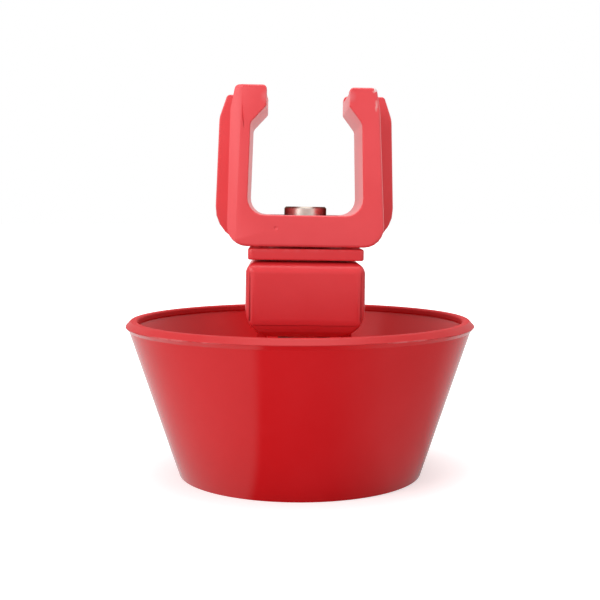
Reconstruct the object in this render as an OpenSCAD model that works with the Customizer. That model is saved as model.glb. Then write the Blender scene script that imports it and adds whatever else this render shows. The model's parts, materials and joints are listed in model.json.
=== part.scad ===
// Poultry drinking cup that hangs under a square water pipe.
// A clip snaps over the pipe, a steel nipple passes down through clip, collar and neck, and a cup
// on two snap legs catches the water that runs off the trigger pin.
// The origin is the centre of the cup's base, +Z is up, and the pipe runs along Y. Millimetres.

/* [Cup] */
// Height of the cup
cup_h = 32.5; // [26:0.5:45]
// Outside diameter of the base
base_d = 51.2; // [46:0.2:60]
// Diameter of the outer cone at the height of the mouth
mouth_d = 73.7; // [66:0.1:90]
// Thickness of the wall, measured level
wall = 1.8; // [1.4:0.1:3]
// Thickness of the floor
floor_t = 2.2; // [1.5:0.1:4]
// Radius inside between floor and wall
inside_r = 3; // [1:0.5:6]
// Radius of the base's outer edge
base_edge_r = 0.5; // [0.2:0.1:1]
// Depth of the recess under the base
recess_h = 0.6; // [0.2:0.1:1]
// Width of the ring that the cup stands on
foot_w = 3; // [2:0.5:6]

/* [Lip] */
// Height from the lip's widest edge to its top
lip_h = 1.2; // [1:0.1:4]
// Height of the slope from the wall out to that edge
lip_slope = 0.9; // [0.4:0.1:2]
// How far the lip stands out from the wall
lip_out = 0.5; // [0.3:0.1:2]
// How far the lip stands in from the wall
lip_in = 0.25; // [0.1:0.05:1]
// How far the lip's outer face leans in towards its top
lip_lean = 1.1; // [0.1:0.05:1.2]
// Radius of the lip's top edges
lip_r = 0.5; // [0.2:0.1:0.6]

/* [Legs] */
// Clear width between the two legs
leg_gap = 15.6; // [14.6:0.2:16]
// Thickness of a leg
leg_t = 2.2; // [1.8:0.1:2.8]
// Width of a leg, across its snap
leg_w = 9; // [5:0.5:14]
// How far a leg reaches up into the neck
leg_in = 7; // [5:0.5:9]
// How far the barb stands out from the leg
barb = 0.5; // [0.3:0.1:0.8]
// Height of the barb
barb_h = 1.9; // [1.2:0.1:3]
// How far a leg's foot spreads at the floor
foot_flare = 2; // [1:0.5:4]
// How far the legs, and all that they carry, stand to one side as moulded
leg_shift = 0.4; // [0:0.1:1]
// Lean of the legs, and of all that they carry, to the same side as moulded, in degrees
lean = 0.8; // [0:0.1:2]

/* [Neck block] */
// Width of the neck
neck_w = 24.5; // [23.9:0.1:30]
// Depth of the neck
neck_d = 24.5; // [20:0.1:30]
// Height of the neck
neck_h = 15.5; // [12:0.1:24]
// How far the neck reaches down below the cup's mouth
neck_sink = 3; // [1:0.5:6]
// Radius of the neck's top edges
neck_top_r = 2.4; // [1:0.2:3]
// Radius of the neck's lower edges at left and right
neck_side_r = 6; // [3:0.5:7]
// Radius of the neck's lower edges at front and back
neck_front_r = 4; // [2:0.5:7]
// Radius of the neck's upright edges
neck_edge_r = 2; // [0.5:0.5:4]

/* [Collar plate] */
// Width and depth of the collar plate
collar_w = 23.7; // [20:0.1:28]
// Thickness of the collar plate
collar_t = 2.35; // [1.6:0.05:4]
// Radius of the plate's upright edges
collar_edge_r = 1; // [0.4:0.1:3]
// Open slit between neck and plate
lower_slit = 0.4; // [0.3:0.1:1.5]
// Open slit between plate and clip
upper_slit = 0.4; // [0.3:0.1:1.5]
// Diameter of the pads that hold the slits open
pad_d = 15.6; // [13:0.2:17]

/* [Pipe clip] */
// Width and height of the square pipe that the clip takes
pipe_w = 22; // [20:1:26]
// Play of the pipe just below the hooks, on both sides together
pipe_play = 0.6; // [0.1:0.1:1]
// What the gap is wider at its floor than below the hooks
gap_draft = 1; // [0.4:0.1:2]
// Clear length between the front and the rear flange
flange_gap = 18; // [17.2:0.2:30]
// Thickness of the front and rear flange
flange_t = 3.5; // [2:0.1:5]
// Height of the flanges' crossbar, from its underside to the pipe's seat
crossbar_h = 6.4; // [5.4:0.1:9]
// Thickness of the floor between the flanges
clip_floor_t = 4.2; // [3.4:0.1:5]
// Thickness of the wall between the flanges
web_t = 2.3; // [1.6:0.1:2.6]
// Outer radius of that wall's lower corners
web_corner_r = 2; // [1:0.5:4]
// Radius inside between floor and arms
gap_r = 3.5; // [1:0.5:5]
// Width of an arm of the front flange at its foot
front_arm = 4.2; // [3:0.1:6]
// Width of an arm of the rear flange at its foot
rear_arm = 8.2; // [5:0.1:10]
// How far the front flange leans in from its foot to its shoulder
front_draft = 1.3; // [0.4:0.1:2]
// How far the rear flange leans in from its foot to its shoulder
rear_draft = 0.8; // [0.4:0.1:2]
// How far the front flange steps in from its shoulder to its top
front_step = 0.8; // [0.4:0.1:1.2]
// How far the rear flange steps in from its shoulder to its top
rear_step = 1.7; // [0.8:0.1:3]
// Outer radius of the front flange's lower corners
front_corner_r = 4.1; // [2:0.1:6]
// Outer radius of the rear flange's lower corners
rear_corner_r = 7.8; // [4:0.1:9]
// Outer radius of the shoulders
shoulder_r = 6; // [2:0.5:8]

/* [Hooks] */
// How far a hook reaches in over the pipe
hook_in = 2.7; // [1.5:0.1:3.5]
// Height of the arms above the top of the pipe
hook_top = 4.5; // [3.5:0.1:7]
// Play between the top of the pipe and the hooks
hook_play = 0.2; // [0.1:0.1:1]
// Height of the slope under a hook
hook_slope = 3.5; // [2:0.1:5]
// Height of the shoulders below the top of the pipe
shoulder_drop = 0.6; // [0:0.1:3]
// Radius of the arms' top corners and of the hooks' tips
tip_r = 0.9; // [0.4:0.1:1.2]
// Radius where the slope under a hook meets the arm
root_r = 1.5; // [0.5:0.1:3]

/* [Nipple] */
// Diameter of the inlet that stands in the pipe's hole
inlet_d = 9; // [8:0.1:9.2]
// Height of the inlet above the pipe's seat
inlet_h = 1.8; // [1.2:0.1:4]
// Chamfer on the inlet's edge
inlet_chamfer = 0.35; // [0.1:0.05:0.5]
// Diameter of the threaded shank
shank_d = 9.4; // [9.3:0.1:10.5]
// Width across the flats of the hexagon under the neck
hex_w = 11; // [10.6:0.1:12]
// Height of the hexagon
hex_h = 2.4; // [1.6:0.1:4]
// Diameter of the nose below the hexagon
nose_d = 8; // [7:0.1:9]
// Height of the nose
nose_h = 1.6; // [1:0.1:4]
// Diameter of the water way in the upper half of the nipple
way_d = 7; // [6.6:0.1:7.4]
// Diameter of the chamber above the lower seat
chamber_d = 6; // [5.6:0.1:6.2]
// Diameter of the outlet round the trigger
outlet_d = 4; // [3.6:0.1:4.4]
// Length of the outlet, up to the lower seat
outlet_h = 2.5; // [1.8:0.1:4]

/* [Valve] */
// Diameter of the trigger's head
head_d = 5; // [4.6:0.1:5.2]
// Thickness of the trigger's head
head_t = 1.2; // [0.8:0.1:2]
// Diameter of the trigger pin
pin_d = 2.4; // [2:0.1:2.6]
// Length of trigger pin below the nipple's nose
pin_out = 12.5; // [8:0.5:16]
// Play between the trigger's head and the stem, so that both seats can close
stem_play = 0.6; // [0.6:0.05:1]
// Height of the upper seat ring
seat_h = 2.4; // [1.6:0.1:4]
// Height of the chamber, from the lower seat to the upper seat ring
chamber_h = 6; // [5:0.5:10]
// Diameter of the hole in the upper seat ring
seat_hole_d = 3.2; // [2.8:0.1:3.4]
// Diameter of the stem's shank
stem_d = 2.2; // [1.8:0.1:2.4]
// Diameter of the stem's head
stem_head_d = 5.2; // [4.6:0.1:5.6]
// Height of the stem's head above the cone that seals
stem_head_h = 1.5; // [1:0.1:3]

/* [Inlet seal] */
// Outside diameter of the rubber ring round the inlet
seal_d = 15; // [13:0.2:18]
// Height of the rubber ring
seal_h = 1.2; // [0.8:0.1:1.6]

/* [Fits] */
// Play round a leg in its pocket in the neck, each side
snap_fit = 0.1; // [0.05:0.05:0.3]
// Radial play of the nipple in clip, collar and neck
shank_fit = 0.05; // [0.02:0.01:0.1]
// Radial play of the rubber rings in their recesses
ring_fit = 0.05; // [0.02:0.01:0.1]
// Play between a valve head and its seat
valve_fit = 0.05; // [0.02:0.01:0.1]

/* [Hidden] */

red = [0.80, 0.13, 0.14];
steel = [0.76, 0.74, 0.71];
black = [0.12, 0.12, 0.12];
turned = 96;      // sides of a turned or bored round
arc_steps = 8;    // straight strips in one rounded corner
past = 1;         // how far a cut runs past a face

// Heights of the stack, from the base up
neck_z = cup_h - neck_sink;
leg_top = neck_z + leg_in;
neck_top = neck_z + neck_h;
collar_z = neck_top + lower_slit;
collar_top = collar_z + collar_t;
clip_z = collar_top + upper_slit;
seat_z = clip_z + crossbar_h;
clip_floor_z = seat_z - clip_floor_t;
pipe_top = seat_z + pipe_w;
arm_top = pipe_top + hook_top;
nose_z = neck_z - hex_h - nose_h;
lower_seat_z = nose_z + outlet_h;
upper_seat_z = lower_seat_z + chamber_h;
seat_top_z = upper_seat_z + seat_h;

// Direction of v with length 1
function unit(v) = v / norm(v);

// Points of the arc of radius r that rounds the corner q between p and s
function corner_arc(p, q, s, r) =
    let (u = unit(p - q),
         v = unit(s - q),
         half = acos(u * v) / 2,
         centre = q + unit(u + v) * r / sin(half),
         from = q + u * r / tan(half) - centre,
         to = q + v * r / tan(half) - centre,
         start = atan2(from.y, from.x),
         turn = atan2(from.x * to.y - from.y * to.x, from * to))
    [for (k = [0:arc_steps])
        let (a = start + turn * k / arc_steps)
        centre + r * [cos(a), sin(a)]];

// Closed outline through corners written [x, y, radius], where radius 0 stays sharp
function rounded(corners) =
    let (n = len(corners),
         at = [for (c = corners) [c.x, c.y]])
    [for (i = [0:n - 1])
        each corners[i].z > 0
            ? corner_arc(at[(i + n - 1) % n], at[i], at[(i + 1) % n], corners[i].z)
            : [at[i]]];

// The other half of an outline that is the same at left and right
function mirrored(corners) =
    [for (i = [len(corners) - 1:-1:0]) [-corners[i].x, corners[i].y, corners[i].z]];

// An outline in X and Z, made solid along Y and centred on it
module along_pipe(length) {
    translate([0, length / 2, 0])
        rotate([90, 0, 0])
            linear_extrude(length)
                children();
}

// What the legs carry, to one side and leaning with them
module hung() {
    translate([leg_shift, 0, 0])
        rotate([0, lean, 0])
            children();
}

// A round hole or pin from z0 up to z1
module round_z(d, z0, z1, sides = turned) {
    translate([0, 0, z0])
        cylinder(d = d, h = z1 - z0, $fn = sides);
}

// Radius of the cup's outer cone at height z
function cone_r(z) = (base_d + (mouth_d - base_d) * z / cup_h) / 2;

// The cup's bowl: section of base, wall and lip, turned about Z
module bowl() {
    lip_z = cup_h - lip_h;
    lip_foot = lip_z - lip_slope;
    lip_x = cone_r(lip_z) + lip_out;
    foot_x = base_d / 2 - foot_w;
    rim_in = cone_r(lip_z) - wall - lip_in;
    rotate_extrude($fn = turned)
        polygon(rounded([
            [0, recess_h, 0],
            [foot_x - recess_h, recess_h, 0],
            [foot_x, 0, 0],
            [base_d / 2, 0, base_edge_r],
            [cone_r(lip_foot), lip_foot, 0],
            [lip_x, lip_z, 0],
            [lip_x - lip_lean, cup_h, lip_r],
            [rim_in, cup_h, lip_r],
            [rim_in, lip_z, 0],
            [cone_r(lip_z) - wall, lip_z, 0],
            [cone_r(floor_t) - wall, floor_t, inside_r],
            [0, floor_t, 0]
        ]));
}

// One snap leg: a strip with a spread foot and a barb at its top
module leg() {
    inner = leg_gap / 2;
    outer = inner + leg_t;
    root_z = (recess_h + floor_t) / 2;
    along_pipe(leg_w)
        polygon([
            [inner, root_z],
            [outer + foot_flare, root_z],
            [outer + foot_flare, floor_t],
            [outer, floor_t + 2 * foot_flare],
            [outer, leg_top - barb_h],
            [outer + barb, leg_top - barb_h],
            [outer - barb, leg_top],
            [inner, leg_top]
        ]);
}

// The space in the neck that takes one leg: the neck rests on the leg's end and the rest has play
module leg_pocket() {
    inner = leg_gap / 2 - snap_fit;
    outer = leg_gap / 2 + leg_t + snap_fit;
    ledge_z = leg_top - barb_h - snap_fit;
    along_pipe(leg_w + 2 * snap_fit)
        polygon([
            [inner, neck_z - past],
            [outer, neck_z - past],
            [outer, ledge_z],
            [outer + barb, ledge_z],
            [outer + barb, leg_top],
            [inner, leg_top]
        ]);
}

module both_sides() {
    children();
    mirror([1, 0, 0])
        children();
}

module cup() {
    color(red) {
        bowl();
        hung()
            both_sides()
                leg();
    }
}

// Front or side outline of the neck, with its own radius at the lower corners
module neck_outline(width, lower_r) {
    half = [[width / 2, neck_z, lower_r], [width / 2, neck_top, neck_top_r]];
    polygon(rounded(concat(half, mirrored(half))));
}

module neck_block() {
    color(red)
        hung()
            difference() {
                intersection() {
                    along_pipe(neck_d)
                        neck_outline(neck_w, neck_side_r);
                    rotate([0, 0, 90])
                        along_pipe(neck_w)
                            neck_outline(neck_d, neck_front_r);
                    translate([0, 0, neck_z])
                        linear_extrude(neck_h)
                            polygon(rounded([
                                [-neck_w / 2, -neck_d / 2, neck_edge_r],
                                [neck_w / 2, -neck_d / 2, neck_edge_r],
                                [neck_w / 2, neck_d / 2, neck_edge_r],
                                [-neck_w / 2, neck_d / 2, neck_edge_r]
                            ]));
                }
                round_z(shank_d + 2 * shank_fit, neck_z - past, neck_top + past);
                both_sides()
                    leg_pocket();
            }
}

// Square plate between neck and clip, with a round pad below it and a spigot above it
module collar_plate() {
    half = collar_w / 2;
    color(red)
        hung()
            difference() {
                union() {
                    translate([0, 0, collar_z])
                        linear_extrude(collar_t)
                            polygon(rounded([
                                [-half, -half, collar_edge_r],
                                [half, -half, collar_edge_r],
                                [half, half, collar_edge_r],
                                [-half, half, collar_edge_r]
                            ]));
                    round_z(pad_d, neck_top, clip_floor_z);
                }
                round_z(shank_d + 2 * shank_fit, neck_top - past, clip_floor_z + past);
            }
}

// Half widths of the gap at its floor and below the hooks
gap_top_x = (pipe_w + pipe_play) / 2;
gap_floor_x = gap_top_x + gap_draft / 2;

// Inner side of one arm, from the hook's top down to the floor
arm_inside = [
    [gap_top_x - hook_in, arm_top, tip_r],
    [gap_top_x - hook_in, pipe_top + hook_play, tip_r],
    [gap_top_x, pipe_top + hook_play - hook_slope, root_r],
    [gap_floor_x, seat_z, gap_r]
];

// U outline: foot, shoulder and top are half widths, z0 is the height of the underside
module u_outline(foot, shoulder, top, z0, corner_r) {
    half = concat([
        [foot, z0, corner_r],
        [shoulder, pipe_top - shoulder_drop, shoulder_r],
        [top, arm_top, tip_r]
    ], arm_inside);
    polygon(rounded(concat(half, mirrored(half))));
}

module pipe_clip() {
    web_top = gap_top_x + web_t;
    front_foot = gap_floor_x + front_arm;
    rear_foot = gap_floor_x + rear_arm;
    front_shoulder = front_foot - front_draft;
    rear_shoulder = rear_foot - rear_draft;
    flange_y = (flange_gap + flange_t) / 2;
    color(red)
        hung()
            difference() {
                union() {
                    along_pipe(flange_gap + flange_t)
                        u_outline(gap_floor_x + web_t, web_top, web_top - tip_r,
                                  clip_floor_z, web_corner_r);
                    translate([0, -flange_y, 0])
                        along_pipe(flange_t)
                            u_outline(front_foot, front_shoulder, front_shoulder - front_step,
                                      clip_z, front_corner_r);
                    translate([0, flange_y, 0])
                        along_pipe(flange_t)
                            u_outline(rear_foot, rear_shoulder, rear_shoulder - rear_step,
                                      clip_z, rear_corner_r);
                }
                round_z(shank_d + 2 * shank_fit, clip_floor_z - past, seat_z + past);
                round_z(seal_d + 2 * ring_fit, seat_z - seal_h, seat_z + past);
            }
}

module inlet_seal() {
    color(black)
        hung()
            difference() {
                round_z(seal_d, seat_z - seal_h, seat_z);
                round_z(shank_d + 2 * shank_fit, seat_z - seal_h - past, seat_z + past);
            }
}

// Turned steel body: inlet, threaded shank, hexagon, nose and the stepped water way inside
module nipple_body() {
    inlet_top = seat_z + inlet_h;
    chamfer_z = inlet_top - inlet_chamfer;
    color(steel)
        hung()
            difference() {
                union() {
                    round_z(shank_d, neck_z - hex_h / 2, seat_z);
                    round_z(inlet_d, seat_z - past, chamfer_z);
                    translate([0, 0, chamfer_z])
                        cylinder(d1 = inlet_d, d2 = inlet_d - 2 * inlet_chamfer,
                                 h = inlet_chamfer, $fn = turned);
                    translate([0, 0, neck_z - hex_h])
                        rotate([0, 0, 30])
                            cylinder(d = hex_w / cos(30), h = hex_h, $fn = 6);
                    round_z(nose_d, nose_z, neck_z - hex_h / 2);
                }
                round_z(outlet_d, nose_z - past, lower_seat_z + past);
                round_z(chamber_d, lower_seat_z, upper_seat_z + past);
                round_z(way_d, upper_seat_z, inlet_top + past);
            }
}

// Cone by which the stem's head closes the upper seat
cone_h = (stem_head_d - seat_hole_d) / 2;

module valve_seat() {
    color(black)
        hung()
            difference() {
                round_z(way_d - 2 * ring_fit, upper_seat_z, seat_top_z);
                round_z(seat_hole_d, upper_seat_z - past, seat_top_z + past);
                translate([0, 0, seat_top_z - cone_h / 2])
                    cylinder(d1 = seat_hole_d, d2 = seat_hole_d + 2 * cone_h, h = cone_h, $fn = turned);
            }
}

module valve_stem() {
    foot_z = lower_seat_z + valve_fit + head_t + stem_play;
    cone_z = seat_top_z - cone_h / 2 + 2 * valve_fit;
    color(steel)
        hung() {
            round_z(stem_d, foot_z, cone_z + cone_h);
            translate([0, 0, cone_z])
                cylinder(d1 = seat_hole_d, d2 = stem_head_d, h = cone_h, $fn = turned);
            round_z(stem_head_d, cone_z + cone_h, cone_z + cone_h + stem_head_h);
        }
}

module trigger_pin() {
    head_z = lower_seat_z + valve_fit;
    tip_z = nose_z - pin_out;
    tip_chamfer = pin_d / 6;
    color(steel)
        hung() {
            round_z(head_d, head_z, head_z + head_t);
            round_z(pin_d, tip_z + tip_chamfer, head_z + head_t / 2);
            translate([0, 0, tip_z])
                cylinder(d1 = pin_d - 2 * tip_chamfer, d2 = pin_d, h = tip_chamfer, $fn = turned);
        }
}

cup();
neck_block();
collar_plate();
pipe_clip();
inlet_seal();
nipple_body();
valve_seat();
valve_stem();
trigger_pin();
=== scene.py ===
import json
import math

import bpy
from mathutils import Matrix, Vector

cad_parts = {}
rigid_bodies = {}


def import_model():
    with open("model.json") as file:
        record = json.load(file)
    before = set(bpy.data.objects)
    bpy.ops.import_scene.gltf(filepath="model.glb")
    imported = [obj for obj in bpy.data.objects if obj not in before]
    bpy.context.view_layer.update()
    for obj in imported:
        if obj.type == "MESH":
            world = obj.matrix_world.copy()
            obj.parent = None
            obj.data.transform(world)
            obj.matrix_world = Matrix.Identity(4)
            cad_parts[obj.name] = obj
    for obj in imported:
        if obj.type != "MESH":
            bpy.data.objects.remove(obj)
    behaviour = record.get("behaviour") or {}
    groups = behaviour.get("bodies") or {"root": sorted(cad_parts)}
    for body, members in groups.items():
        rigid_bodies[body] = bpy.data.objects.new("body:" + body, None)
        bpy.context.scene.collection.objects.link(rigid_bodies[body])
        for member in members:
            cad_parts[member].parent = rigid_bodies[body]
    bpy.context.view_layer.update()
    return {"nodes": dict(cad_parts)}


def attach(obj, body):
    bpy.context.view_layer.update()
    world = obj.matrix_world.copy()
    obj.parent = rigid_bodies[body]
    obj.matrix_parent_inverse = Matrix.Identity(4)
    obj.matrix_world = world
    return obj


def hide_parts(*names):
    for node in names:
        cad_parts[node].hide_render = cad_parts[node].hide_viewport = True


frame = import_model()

# ---------------------------------------------------------------------------------------------
# Cup
# A conical bowl with a beaded lip and two snap legs, moulded in glossy red plastic in one shot.
# The parting line runs round the bead, with scraps of flash on it and nicks where it was trimmed. At the front the
# flash is painted paler, partly as a painted highlight.

cup_height = 0.0325
cup_base_radius = 0.0256
cup_mouth_radius = 0.03685
cup_wall = 0.0018
cup_floor = 0.0022
lip_edge = 0.0313
lip_foot = 0.0304


def start_piece(name):
    """An empty new piece in edit mode."""
    bpy.ops.object.select_all(action="DESELECT")
    bpy.ops.mesh.primitive_plane_add(size=0.001)
    piece = bpy.context.object
    piece.name = piece.data.name = name
    bpy.ops.object.mode_set(mode="EDIT")
    bpy.ops.mesh.delete(type="VERT")
    return piece


def trace(points, closed=True):
    """A line drawn through points by extruding one vertex. It gets a vertex group of its own."""
    points = [Vector(p) for p in points]
    bpy.ops.mesh.select_mode(type="VERT")
    bpy.ops.mesh.select_all(action="DESELECT")
    bpy.ops.mesh.primitive_plane_add(size=0.001, enter_editmode=True)
    bpy.ops.mesh.merge(type="CENTER")
    bpy.ops.transform.translate(value=points[0])
    path = points + points[:1] if closed else points
    for a, b in zip(path, path[1:]):
        bpy.ops.mesh.extrude_region_move(TRANSFORM_OT_translate={"value": b - a})
    bpy.ops.object.vertex_group_add()
    bpy.ops.mesh.select_linked()
    bpy.ops.mesh.remove_doubles(threshold=1e-6)
    bpy.ops.object.vertex_group_assign()


def rounded(corners, steps=8):
    """Points of a closed outline through corners (x, z, radius), each corner an arc."""
    points = []
    for i, (x, z, radius) in enumerate(corners):
        here = Vector((x, z))
        if radius == 0:
            points.append(here)
            continue
        u = (Vector(corners[i - 1][:2]) - here).normalized()
        v = (Vector(corners[(i + 1) % len(corners)][:2]) - here).normalized()
        half = u.angle(v) / 2
        centre = here + (u + v).normalized() * radius / math.sin(half)
        a = here + u * radius / math.tan(half) - centre
        turn = a.angle_signed(here + v * radius / math.tan(half) - centre)
        for k in range(steps + 1):
            t = -turn * k / steps
            points.append(centre + Vector((a.x * math.cos(t) - a.y * math.sin(t),
                                           a.x * math.sin(t) + a.y * math.cos(t))))
    return points


def close_up(piece):
    """Merges the seams of a piece, turns its faces outwards and leaves edit mode."""
    bpy.ops.mesh.select_mode(type="VERT")
    bpy.ops.mesh.select_all(action="SELECT")
    bpy.ops.mesh.remove_doubles(threshold=2e-6)
    bpy.ops.mesh.normals_make_consistent(inside=False)
    bpy.ops.object.mode_set(mode="OBJECT")
    if sum(face.center.dot(face.normal) * face.area for face in piece.data.polygons) < 0:
        bpy.ops.object.mode_set(mode="EDIT")
        bpy.ops.mesh.flip_normals()
        bpy.ops.object.mode_set(mode="OBJECT")
    piece.vertex_groups.clear()


def apply_modifier(piece, kind, settings):
    """Runs one modifier on a piece and keeps its result."""
    modifier = piece.modifiers.new("Shape", kind)
    for name, value in settings.items():
        setattr(modifier, name, value)
    bpy.context.view_layer.objects.active = piece
    bpy.ops.object.modifier_apply(modifier=modifier.name)


def soften(piece, width, segments=3, angle=30):
    """Rounds the sharp edges of a piece."""
    apply_modifier(piece, "BEVEL", {"width": width, "segments": segments, "limit_method": "ANGLE",
                                    "angle_limit": math.radians(angle), "use_clamp_overlap": False})


def combine(piece, tool, operation):
    """Cuts a second piece out of a piece or joins it on, after which the second is gone."""
    apply_modifier(piece, "BOOLEAN", {"object": tool, "operation": operation, "solver": "EXACT"})
    bpy.data.objects.remove(tool)
    bpy.ops.object.select_all(action="DESELECT")
    piece.select_set(True)
    bpy.ops.object.mode_set(mode="EDIT")
    close_up(piece)


def select_points(piece, test):
    """Selects the points of the piece in edit mode that pass."""
    bpy.ops.mesh.select_mode(type="VERT")
    bpy.ops.mesh.select_all(action="DESELECT")
    bpy.ops.object.mode_set(mode="OBJECT")
    for point in piece.data.vertices:
        point.select = test(point.co)
    bpy.ops.object.mode_set(mode="EDIT")


def cone(z):
    """Radius of the cup's outer wall at height z."""
    return cup_base_radius + (cup_mouth_radius - cup_base_radius) * z / cup_height


lip_radius = cone(lip_edge) + 0.0005
mouth_inside = cone(lip_edge) - cup_wall - 0.00025
cup_section = [
    (0, 0.0006, 0), (0.0220, 0.0006, 0), (0.0226, 0, 0), (cup_base_radius, 0, 0.0002),
    (cone(lip_foot), lip_foot, 0.0003), (lip_radius, lip_edge, 0.00012),
    (lip_radius - 0.0011, cup_height, 0.0005), (mouth_inside, cup_height, 0.0005),
    (mouth_inside, lip_edge, 0.00012), (mouth_inside + 0.00023, lip_edge - 0.0003, 0.0001),
    (cone(cup_floor) - cup_wall, cup_floor, 0.003), (0, cup_floor, 0),
]
cup = start_piece("cup_moulding")
trace([(p.x, 0, p.y) for p in rounded(cup_section, 5)], closed=False)
bpy.ops.mesh.select_all(action="SELECT")
bpy.ops.mesh.spin(steps=180, angle=2 * math.pi, center=(0, 0, 0), axis=(0, 0, 1))
bpy.ops.mesh.select_all(action="SELECT")
bpy.ops.mesh.remove_doubles(threshold=2e-6)

# Directions are counted in degrees from the front, to the right
bead_marks = [(-62, -50, 1.0045), (-48, -37, 1.0038), (-30, -27, 1.003), (38, 46, 1.003), (50, 60, 1.0038),
              (85, 89, 0.988), (94, 97, 0.992), (-84, -81, 0.994), (128, 133, 0.993), (-150, -140, 1.003),
              (160, 171, 1.003)]
for start, stop, scale in bead_marks:
    def on_bead(p):
        around = math.degrees(math.atan2(p.x, -p.y))
        return p.xy.length > lip_radius - 0.00018 and start < around < stop
    select_points(cup, on_bead)
    bpy.ops.transform.resize(value=(scale, scale, 1), center_override=(0, 0, 0))
close_up(cup)

leg_inner = 0.0078
leg_outer = 0.0100
leg_top = 0.0365
leg_shift = 0.0004
lean = math.radians(0.8)


def hang(piece):
    """Leans a finished piece, and sets it a little to the right, with all that the cup's legs carry."""
    bpy.ops.object.select_all(action="DESELECT")
    piece.select_set(True)
    bpy.context.view_layer.objects.active = piece
    piece.location = (leg_shift, 0, 0)
    piece.rotation_euler = (0, lean, 0)
    bpy.ops.object.transform_apply(location=True, rotation=True, scale=False)


for side in (-1, 1):
    leg = start_piece("leg")
    leg_section = [(leg_inner, 0.0014), (leg_outer + 0.002, 0.0014), (leg_outer + 0.002, cup_floor),
                   (leg_outer + 0.0006, 0.0036), (leg_outer, 0.0062), (leg_outer, leg_top - 0.0019),
                   (leg_outer + 0.0005, leg_top - 0.0019), (leg_outer - 0.0005, leg_top), (leg_inner, leg_top)]
    trace([(side * x, -0.0045, z) for x, z in leg_section])
    bpy.ops.mesh.edge_face_add()
    bpy.ops.mesh.extrude_region_move(TRANSFORM_OT_translate={"value": (0, 0.009, 0)})
    close_up(leg)
    soften(leg, 0.0002)
    hang(leg)
    combine(cup, leg, "UNION")


class Socket:
    """A value, colour or place in a material. Sums on it add Math nodes."""

    def __init__(self, material, end):
        self.material, self.end = material, end

    def node(self, kind, settings, inputs, output=0):
        made = self.material.node_tree.nodes.new(kind)
        for name, value in settings.items():
            if name == "stops":
                ramp = made.color_ramp
                while len(ramp.elements) < len(value):
                    ramp.elements.new(0.5)
                for stop, (place, shade) in zip(ramp.elements, value):
                    stop.position = place
                    stop.color = (*shade, 1) if isinstance(shade, tuple) else (shade, shade, shade, 1)
            else:
                setattr(made, name, value)
        for name, value in inputs.items():
            if isinstance(value, Socket):
                self.material.node_tree.links.new(value.end, made.inputs[name])
            elif isinstance(value, tuple) and len(value) == 3 and len(made.inputs[name].default_value) == 4:
                made.inputs[name].default_value = (*value, 1)
            else:
                made.inputs[name].default_value = value
        return Socket(self.material, made.outputs[output])

    def math(self, operation, *values):
        return self.node("ShaderNodeMath", {"operation": operation}, dict(enumerate(values)))

    def __add__(self, other):
        return self.math("ADD", self, other)

    def __sub__(self, other):
        return self.math("SUBTRACT", self, other)

    def __rsub__(self, other):
        return self.math("SUBTRACT", other, self)

    def __mul__(self, other):
        return self.math("MULTIPLY", self, other)

    __radd__ = __add__
    __rmul__ = __mul__

    def ramp(self, *stops):
        return self.node("ShaderNodeValToRGB", {"stops": stops}, {"Fac": self})

    def mix(self, first, second):
        return self.node("ShaderNodeMix", {"data_type": "RGBA"}, {"Factor": self, 6: first, 7: second}, 2)

    def noise(self, scale, detail=3.0, roughness=0.5):
        return self.node("ShaderNodeTexNoise", {}, {"Vector": self, "Scale": scale, "Detail": detail,
                                                    "Roughness": roughness})

    def stretched(self, x, y, z):
        return self.node("ShaderNodeVectorMath", {"operation": "MULTIPLY"}, {0: self, 1: Vector((x, y, z))})

    def axis(self, which):
        return self.node("ShaderNodeSeparateXYZ", {}, {"Vector": self}, which)

    def near(self, spot, reach, squeeze=(1, 1, 1)):
        """1 at a spot, given in metres, fading to 0 at its reach. A squeeze below 1 makes it longer that way."""
        offset = self.node("ShaderNodeVectorMath", {"operation": "SUBTRACT"}, {0: self, 1: Vector(spot)})
        away = offset.stretched(*squeeze).node
        length = away("ShaderNodeVectorMath", {"operation": "LENGTH"}, {0: offset.stretched(*squeeze)}, 1)
        return (length * (1 / reach)).ramp((0.35, 1.0), (1.0, 0.0))


def new_material(name):
    """(material, its surface shader, the place on the piece as a socket)"""
    material = bpy.data.materials.new(name)
    material.use_nodes = True
    shader = material.node_tree.nodes["Principled BSDF"]
    place = material.node_tree.nodes.new("ShaderNodeTexCoord").outputs["Object"]
    return material, shader, Socket(material, place)


def feed(shader, name, value):
    shader.id_data.links.new(value.end, shader.inputs[name])


def bump(shader, height, strength, distance):
    feed(shader, "Normal", height.node("ShaderNodeBump", {}, {"Strength": strength, "Distance": distance,
                                                             "Height": height}))


def dress(piece, material, node):
    """Gives a finished piece its material, in place of the CAD node of that name."""
    bpy.ops.object.select_all(action="DESELECT")
    piece.select_set(True)
    bpy.context.view_layer.objects.active = piece
    bpy.ops.object.shade_smooth_by_angle(angle=math.radians(32))
    apply_modifier(piece, "WEIGHTED_NORMAL", {"keep_sharp": True})
    piece.data.materials.clear()
    piece.data.materials.append(material)
    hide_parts(node)
    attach(piece, "drinker")


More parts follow.
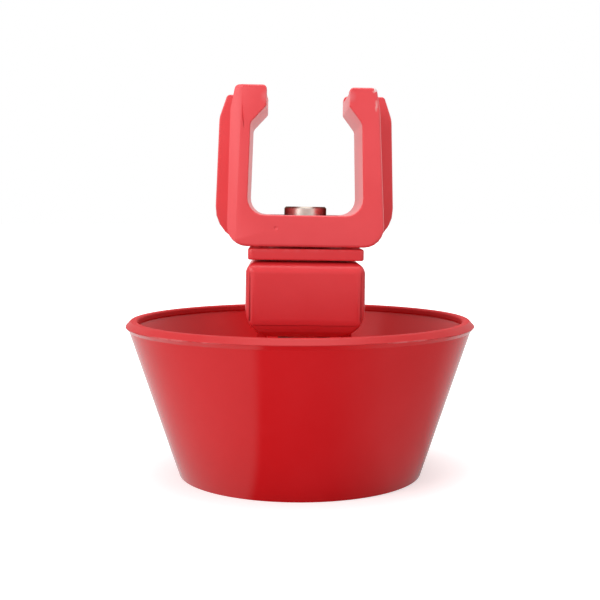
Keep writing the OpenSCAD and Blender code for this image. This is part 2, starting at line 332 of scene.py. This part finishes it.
cup_red = (0.58, 0.006, 0.009)
cup_plastic, shader, place = new_material("Cup plastic")
shader.inputs["Specular IOR Level"].default_value = 0.38
mottle = place.noise(60, 4)
flow = place.stretched(1, 1, 0.12).noise(420, 3)
scratches = place.stretched(1, 1, 9).noise(170, 5, 0.75).ramp((0.62, 0.0), (0.72, 1.0))
height = place.axis(2)
# Paler spots on the bead's lower edge at the front: partly whitened flash, partly a painted highlight.
flash_and_highlight_spots = place.near((-0.0233, -0.0286, lip_edge), 0.0105) + place.near((0.0203, -0.0308, lip_edge), 0.0065)
bead_flash_and_highlight = height.math("COMPARE", height, lip_edge, 0.00013) * flash_and_highlight_spots * place.noise(300, 3).ramp((0.40, 0.0), (0.5, 1.0))
colour = mottle.ramp((0.35, 0.0), (0.75, 1.0)).mix(cup_red, (0.61, 0.009, 0.013))
colour = (0.55 * bead_flash_and_highlight).mix(colour, (0.86, 0.30, 0.30))
across = place.node("ShaderNodeVectorMath", {"operation": "LENGTH"}, {0: place.stretched(1, 1, 0)}, 1)
inside = across.math("LESS_THAN", across - 0.346 * height, cup_base_radius - 0.001)
# The top of the lip gets painted shade: its colour is darker there, and it is rougher too.
shaded_dull_lip_top = height.math("GREATER_THAN", height, lip_edge - 0.0001)
colour = (0.5 * shaded_dull_lip_top).mix(colour, (0.42, 0.006, 0.009))
feed(shader, "Base Color", colour)
feed(shader, "Roughness", 0.11 + 0.08 * mottle + 0.08 * scratches + 0.35 * shaded_dull_lip_top + 0.2 * inside)
bump(shader, 0.5 * place.noise(900, 3) + flow, 0.06, 0.0001)
dress(cup, cup_plastic, "cup")

# ---------------------------------------------------------------------------------------------
# Neck block
# A square red moulding with round edges that hangs the cup from the nipple: the legs snap into
# two pockets in its underside, and the nipple's shank passes through its bore.

neck_half = 0.01225
neck_foot = 0.0295
neck_top = 0.0450


def slab(name, outline, thickness, across="Y"):
    """A flat piece from an outline (x, z), as thick along Y or X as given and centred there."""
    piece = start_piece(name)
    if across == "Y":
        trace([(p[0], -thickness / 2, p[1]) for p in outline])
    else:
        trace([(-thickness / 2, p[0], p[1]) for p in outline])
    bpy.ops.mesh.edge_face_add()
    step = (0, thickness, 0) if across == "Y" else (thickness, 0, 0)
    bpy.ops.mesh.extrude_region_move(TRANSFORM_OT_translate={"value": step})
    close_up(piece)
    return piece


def neck_outline(lower):
    return rounded([(neck_half, neck_foot, lower), (neck_half, neck_top, 0.0024),
                    (-neck_half, neck_top, 0.0024), (-neck_half, neck_foot, lower)], 10)


def round_bar(radius, low, high, sides=96):
    """A round bar on the nipple's axis, as a tool."""
    bpy.ops.object.select_all(action="DESELECT")
    bpy.ops.mesh.primitive_cylinder_add(vertices=sides, radius=radius, depth=high - low,
                                        location=(0, 0, (low + high) / 2))
    return bpy.context.object


def square_bar(half, low, high, radius):
    """A square bar on the nipple's axis with rounded upright edges."""
    piece = start_piece("bar")
    trace([(p.x, p.y, low) for p in rounded([(half, -half, radius), (half, half, radius),
                                             (-half, half, radius), (-half, -half, radius)], 6)])
    bpy.ops.mesh.edge_face_add()
    bpy.ops.mesh.extrude_region_move(TRANSFORM_OT_translate={"value": (0, 0, high - low)})
    close_up(piece)
    return piece


neck = slab("neck_moulding", neck_outline(0.006), 2 * neck_half)
combine(neck, slab("side", neck_outline(0.004), 0.03, "X"), "INTERSECT")
combine(neck, square_bar(neck_half, neck_foot - 0.001, neck_top + 0.001, 0.002), "INTERSECT")
soften(neck, 0.0006, 4, 16)
combine(neck, round_bar(0.00475, neck_foot - 0.001, neck_top + 0.001), "DIFFERENCE")
for side in (-1, 1):
    pocket = slab("pocket", [(side * x, z) for x, z in (
        (0.0077, neck_foot - 0.001), (0.0101, neck_foot - 0.001), (0.0101, leg_top - 0.002),
        (0.0106, leg_top - 0.002), (0.0106, leg_top), (0.0077, leg_top))], 0.0092)
    combine(neck, pocket, "DIFFERENCE")
hang(neck)

neck_plastic, shader, place = new_material("Neck plastic")
shader.inputs["Specular IOR Level"].default_value = 0.45
mottle = place.noise(80, 4)
colour = mottle.ramp((0.35, 0.0), (0.75, 1.0)).mix((0.76, 0.032, 0.040), (0.79, 0.042, 0.050))
# A paler streak along the collar's top front edge: partly wear, partly a painted highlight.
top_edge_wear_and_highlight = place.near((0.0008, -0.0125, 0.0477), 0.0035, (0.22, 1, 4)) * place.noise(700, 4).ramp((0.4, 0.0), (0.6, 1.0))
feed(shader, "Base Color", (0.15 * top_edge_wear_and_highlight).mix(colour, (0.80, 0.24, 0.25)))
feed(shader, "Roughness", 0.26 + 0.12 * mottle)
bump(shader, place.noise(420, 3), 0.10, 0.0001)
dress(neck, neck_plastic, "neck_block")

# ---------------------------------------------------------------------------------------------
# Collar plate
# A thin square red plate between neck and clip. The round pad below it and the spigot above it
# are of one moulding with it and hold two slits open.

collar = square_bar(0.01185, 0.0454, 0.04775, 0.001)
collar.name = collar.data.name = "collar_plate_moulding"
soften(collar, 0.00035, 3, 50)
combine(collar, round_bar(0.0078, neck_top, 0.05035), "UNION")
combine(collar, round_bar(0.00475, neck_top - 0.001, 0.052), "DIFFERENCE")
hang(collar)
dress(collar, neck_plastic, "collar_plate")

# ---------------------------------------------------------------------------------------------
# Pipe clip
# A red U that snaps over the square water pipe: two hooked arms on a crossbar, with a narrow
# flange in front and a wide one behind. Its flash was pared off with a knife, which left flats.

seat = 0.05455
clip_foot = 0.04815
pipe_top = 0.07655
arm_top = 0.08105
gap_foot, gap_top, gap_shift, hook = 0.0118, 0.0113, -0.0003, 0.0084


def u_corners(foot, shoulder, top, underside, corner, height=arm_top):
    """Corners of the clip's outline at one place along the pipe, from half widths."""
    half = [(foot, underside, corner), (shoulder, pipe_top - 0.0006, 0.006), (top, height, 0.0009),
            (hook, height, 0.0009), (hook, pipe_top + 0.0002, 0.0009), (gap_top, pipe_top - 0.0033, 0.0015),
            (gap_foot, seat, 0.0035)]
    corners = half + [(-x, z, r) for x, z, r in reversed(half)]
    corners[5:9] = [(x + gap_shift, z, r) for x, z, r in corners[5:9]]
    return corners


def drawn_in(corners, outer, top, inner):
    """The outline with its outer, top and inner sides each moved in by their own amount."""
    moves = [outer, outer, top, inner, inner, inner, inner, inner, inner, inner, top, outer, outer, outer]
    starts, runs = [], []
    for i, move in enumerate(moves):
        here = Vector(corners[i][:2])
        run = (Vector(corners[(i + 1) % len(corners)][:2]) - here).normalized()
        starts.append(here + Vector((-run.y, run.x)) * move)
        runs.append(run)
    result = []
    for i, (_, _, radius) in enumerate(corners):
        across = runs[i - 1].cross(runs[i])
        along = (starts[i] - starts[i - 1]).cross(runs[i]) / across
        place = starts[i - 1] + runs[i - 1] * along
        change = (moves[i - 1] + moves[i]) / 2
        radius = radius - change if across > 0 else radius + change
        result.append((place.x, place.y, max(radius, 0.0003)))
    return result


front = u_corners(0.0160, 0.0147, 0.0139, clip_foot, 0.0041, arm_top - 0.00035)
front[10:] = [(-hook, arm_top, 0.0009), (-0.0148, arm_top, 0.0009), (-0.0158, pipe_top - 0.0006, 0.006), (-0.0162, clip_foot, 0.0041)]
web = u_corners(0.0141, 0.0136, 0.0127, 0.05035, 0.002, arm_top - 0.0008)
rear = u_corners(0.0200, 0.0192, 0.0175, clip_foot, 0.0078)


def loft(name, stations):
    """A closed piece through outlines (y, corners) that follow one another along the pipe."""
    piece = start_piece(name)
    for y, corners in stations:
        trace([(p.x, y, p.y) for p in rounded(corners, 6)])
    for first in range(len(stations) - 1):
        bpy.ops.mesh.select_mode(type="VERT")
        bpy.ops.mesh.select_all(action="DESELECT")
        for group in (first, first + 1):
            piece.vertex_groups.active_index = group
            bpy.ops.object.vertex_group_select()
        bpy.ops.mesh.select_mode(type="EDGE")
        bpy.ops.mesh.bridge_edge_loops()
    for end in (0, len(stations) - 1):
        bpy.ops.mesh.select_mode(type="VERT")
        bpy.ops.mesh.select_all(action="DESELECT")
        piece.vertex_groups.active_index = end
        bpy.ops.object.vertex_group_select()
        bpy.ops.mesh.edge_face_add()
    close_up(piece)
    return piece


def flange(name, corners, outside, inside):
    """A flange of the clip, with its edges rounded well on the outside and a little towards the web."""
    way = 1 if outside < inside else -1
    stations = []
    for turn in (0, 25, 50, 90):
        a = math.radians(turn)
        part = 1 - math.sin(a)
        stations.append((outside + way * 0.0006 * (1 - math.cos(a)),
                         drawn_in(corners, 0.0006 * part, 0.0004 * part, 0.0003 * part)))
    for turn in (90, 45, 0):
        a = math.radians(turn)
        part = 1 - math.sin(a)
        stations.append((inside - way * 0.0004 * (1 - math.cos(a)),
                         drawn_in(corners, 0.0004 * part, 0.0002 * part, 0.00003 * part)))
    return loft(name, stations)


clip = flange("pipe_clip_moulding", front, -0.0125, -0.009)
combine(clip, loft("web", [(-0.0105, web), (0.0105, web)]), "UNION")
combine(clip, flange("rear", rear, 0.0125, 0.009), "UNION")


def pare(piece, point, facing, size=(0.06, 0.06)):
    """Cuts a flat on a piece with a knife as large as given: what lies beyond the point on the side it faces goes."""
    facing = Vector(facing).normalized()
    bpy.ops.object.select_all(action="DESELECT")
    bpy.ops.mesh.primitive_cube_add(size=1, location=Vector(point) + facing * 0.005, scale=(*size, 0.01),
                                    rotation=facing.to_track_quat("Z", "Y").to_euler())
    combine(piece, bpy.context.object, "DIFFERENCE")


pare(clip, (-0.0140, -0.0125, 0.062), (-0.50, -0.86, 0.015))
pare(clip, (-0.0136, -0.0125, 0.0803), (-0.5, -0.6, 0.62))
pare(clip, (0.0136, -0.0125, 0.0806), (0.62, -0.5, 0.6))
pare(clip, (0.0145, -0.0125, 0.0790), (0.8, -0.45, 0.25))
# A line scored down the left arm's face
bpy.ops.object.select_all(action="DESELECT")
bpy.ops.mesh.primitive_cube_add(size=1, location=(-0.01321, -0.01252, 0.0750), scale=(0.00024, 0.00024, 0.0130),
                                rotation=(math.radians(-0.4), math.radians(-5.7), math.radians(45)))
combine(clip, bpy.context.object, "DIFFERENCE")
combine(clip, round_bar(0.00475, 0.049, 0.056), "DIFFERENCE")
combine(clip, round_bar(0.00755, seat - 0.0012, 0.056), "DIFFERENCE")
bpy.ops.object.select_all(action="DESELECT")
bpy.ops.mesh.primitive_uv_sphere_add(segments=64, ring_count=32, radius=0.0009, location=(-0.0062, -0.01328, 0.0519))
combine(clip, bpy.context.object, "DIFFERENCE")
hang(clip)

clip_plastic, shader, place = new_material("Clip plastic")
shader.inputs["Specular IOR Level"].default_value = 0.5
mottle = place.noise(80, 4)
streaks = place.stretched(1, 1, 0.1).noise(500, 3)
colour = mottle.ramp((0.35, 0.0), (0.75, 1.0)).mix((0.80, 0.060, 0.069), (0.83, 0.072, 0.083))
speckle = place.noise(1500, 3)
# The hook tips and the right hook's inner side are painted paler: partly wear, partly a painted highlight.
tip_wear_and_highlight = (place.near((-0.0067, -0.0122, 0.0787), 0.0016) + place.near((0.0099, -0.0122, 0.0787), 0.0015)
        + place.near((0.0099, 0.002, 0.0785), 0.0100, (1, 0.9, 3)))
# Whitened chips on the right arm's top corner, partly a painted highlight.
chips_and_highlight = place.near((0.0153, -0.0120, 0.0802), 0.0012) * speckle.ramp((0.47, 0.0), (0.56, 1.0))
# A pale streak down the right arm's edge crease: partly knife-trim whitening, partly a painted highlight.
knife_streak_and_highlight = place.near((0.0153, -0.0122, 0.0768), 0.0006, (1.4, 1, 0.35)) * speckle.ramp((0.40, 0.0), (0.50, 1.0))
colour = (0.28 * tip_wear_and_highlight).mix(colour, (0.80, 0.30, 0.33))
colour = (0.9 * chips_and_highlight).mix(colour, (0.88, 0.78, 0.76))
colour = (0.7 * knife_streak_and_highlight).mix(colour, (0.86, 0.52, 0.50))
feed(shader, "Base Color", colour)
feed(shader, "Roughness", 0.28 + 0.12 * mottle + 0.05 * streaks)
bump(shader, streaks + 0.4 * place.noise(1200, 2), 0.10, 0.0001)
dress(clip, clip_plastic, "pipe_clip")

# ---------------------------------------------------------------------------------------------
# Nipple
# Turned stainless steel: the inlet stands out of the clip's floor, the shank holds clip, collar
# and neck together, and the hexagon and nose hang in the cup. Stem and trigger are turned too.

steel, shader, place = new_material("Turned steel")
shader.inputs["Metallic"].default_value = 1.0
shader.inputs["Specular Tint"].default_value = (0.42, 0.30, 0.26, 1)
lathe = place.stretched(0.02, 0.02, 1).noise(9000, 2)
bright = place.noise(300, 2).ramp((0.3, (0.70, 0.64, 0.57)), (0.7, (0.82, 0.77, 0.70)))
# Painted dark reflection: the steel's colour goes dark towards its sides and on its top rim.
side = place.axis(0) - 0.0009
painted_dark_reflection = (side.math("ABSOLUTE", side) * 200).ramp((0.40, 0.0), (0.86, 1.0))
dark_rim_reflection = (place.axis(2) * 1000 - 55.6).ramp((0.2, 0.0), (0.5, 0.85))
painted_dark_reflection = painted_dark_reflection.math("MAXIMUM", painted_dark_reflection, dark_rim_reflection)
feed(shader, "Base Color", (0.95 * painted_dark_reflection).mix(bright, (0.10, 0.07, 0.055)))
feed(shader, "Roughness", 0.24 + 0.12 * lathe + 0.06 * place.noise(700, 2))
bump(shader, lathe, 0.15, 0.00005)
for name in ("nipple_body", "valve_stem", "trigger_pin"):
    node = frame["nodes"][name]
    node.data.materials.clear()
    node.data.materials.append(steel)

# ---------------------------------------------------------------------------------------------
# Rubber rings
# The black ring let into the clip's floor seals on the pipe, and the one in the nipple is the
# upper valve seat. Both are moulded and matt.

rubber, shader, place = new_material("Black rubber")
feed(shader, "Base Color", place.noise(500, 3).ramp((0.3, 0.012), (0.7, 0.03)))
feed(shader, "Roughness", 0.55 + 0.2 * place.noise(900, 2))
for name in ("inlet_seal", "valve_seat"):
    node = frame["nodes"][name]
    node.data.materials.clear()
    node.data.materials.append(rubber)

# ---------------------------------------------------------------------------------------------
# Floor, light and camera
# A plain white floor under a pale sky, a large soft lamp from the upper left and a weaker one
# from the right, and the camera a little to the left of straight in front.

bpy.ops.object.select_all(action="DESELECT")
bpy.ops.mesh.primitive_plane_add(size=6)
floor = bpy.context.object
floor.name = "floor"
floor_white, shader, place = new_material("Floor white")
shader.inputs["Base Color"].default_value = (0.80, 0.80, 0.80, 1)
shader.inputs["Roughness"].default_value = 0.9
shader.inputs["Specular IOR Level"].default_value = 0.0
rays = place.node("ShaderNodeLightPath", {}, {})
links, path = floor_white.node_tree.links, rays.end.node
seen = rays.math("MAXIMUM", rays, Socket(floor_white, path.outputs["Is Transmission Ray"]))
lit = Socket(floor_white, shader.outputs[0])
away = place.node("ShaderNodeVectorMath", {"operation": "LENGTH"}, {0: place}, 1)
far = away.ramp((0.0, 0.50), (0.10, 0.56), (0.45, 1.0))
glow = lit.node("ShaderNodeEmission", {}, {"Color": seen.mix((0.0, 0.0, 0.0), far)})
lit = lit.node("ShaderNodeAddShader", {}, {0: lit, 1: glow})
# In reflections the floor is white too, but with a painted shadow in front, where the one who takes the picture
# stands
around = place.math("ARCTAN2", place.axis(0), 0 - place.axis(1)) * (0.5 / math.pi) + 0.5
reflection_with_painted_shadow = around.ramp((0.0, 1.0), (0.25, 0.75), (0.37, 0.90), (0.428, 0.85), (0.441, 0.08), (0.54, 0.08),
                       (0.63, 0.50), (0.75, 0.35), (1.0, 1.0))
reflection_with_painted_shadow = lit.node("ShaderNodeEmission", {}, {"Color": reflection_with_painted_shadow})
shown = lit.node("ShaderNodeMixShader", {}, {0: Socket(floor_white, path.outputs["Is Glossy Ray"]), 1: lit, 2: reflection_with_painted_shadow})
links.new(shown.end, floor_white.node_tree.nodes["Material Output"].inputs["Surface"])
floor.data.materials.append(floor_white)

world = bpy.data.worlds.new("Studio")
bpy.context.scene.world = world
world.use_nodes = True
nodes, links = world.node_tree.nodes, world.node_tree.links
sky = nodes["Background"]
sky.inputs["Color"].default_value = (1, 1, 1, 1)
rays = nodes.new("ShaderNodeLightPath")
total = rays.outputs["Is Camera Ray"]
for kind in ("Is Glossy Ray", "Is Transmission Ray"):
    either = nodes.new("ShaderNodeMath")
    either.operation = "MAXIMUM"
    links.new(total, either.inputs[0])
    links.new(rays.outputs[kind], either.inputs[1])
    total = either.outputs[0]
level = nodes.new("ShaderNodeMapRange")
level.inputs["To Min"].default_value = 0.43
level.inputs["To Max"].default_value = 1.0
links.new(total, level.inputs["Value"])
links.new(level.outputs[0], sky.inputs["Strength"])


def lamp(name, place, aim, width, power):
    """A soft square lamp that looks at aim."""
    bpy.ops.object.light_add(type="AREA", location=place)
    made = bpy.context.object
    made.name = name
    made.data.size = width
    made.data.energy = power
    made.rotation_euler = (Vector(aim) - Vector(place)).to_track_quat("-Z", "Y").to_euler()


lamp("key", (-0.65, -0.55, 0.45), (0, 0, 0.04), 0.6, 4.2)
lamp("fill", (0.7, -0.5, 0.4), (0, 0, 0.04), 0.6, 0.8)
lamp("top", (0.0, 0.0, 0.8), (0, 0.001, 0.04), 0.6, 4.3)

camera_distance = 0.230
camera_height = 0.0564
camera_side = math.radians(-1.0)
bpy.ops.object.camera_add(location=(math.sin(camera_side) * camera_distance,
                                    -math.cos(camera_side) * camera_distance, camera_height),
                          rotation=(math.pi / 2, 0, camera_side))
camera = bpy.context.object
camera.data.sensor_width = 36
camera.data.lens = 1074 / 600 * 36
camera.data.shift_x = 0.0003
camera.data.shift_y = -0.156
camera.data.clip_start = 0.01
bpy.context.scene.camera = camera
bpy.context.scene.view_settings.view_transform = "Standard"
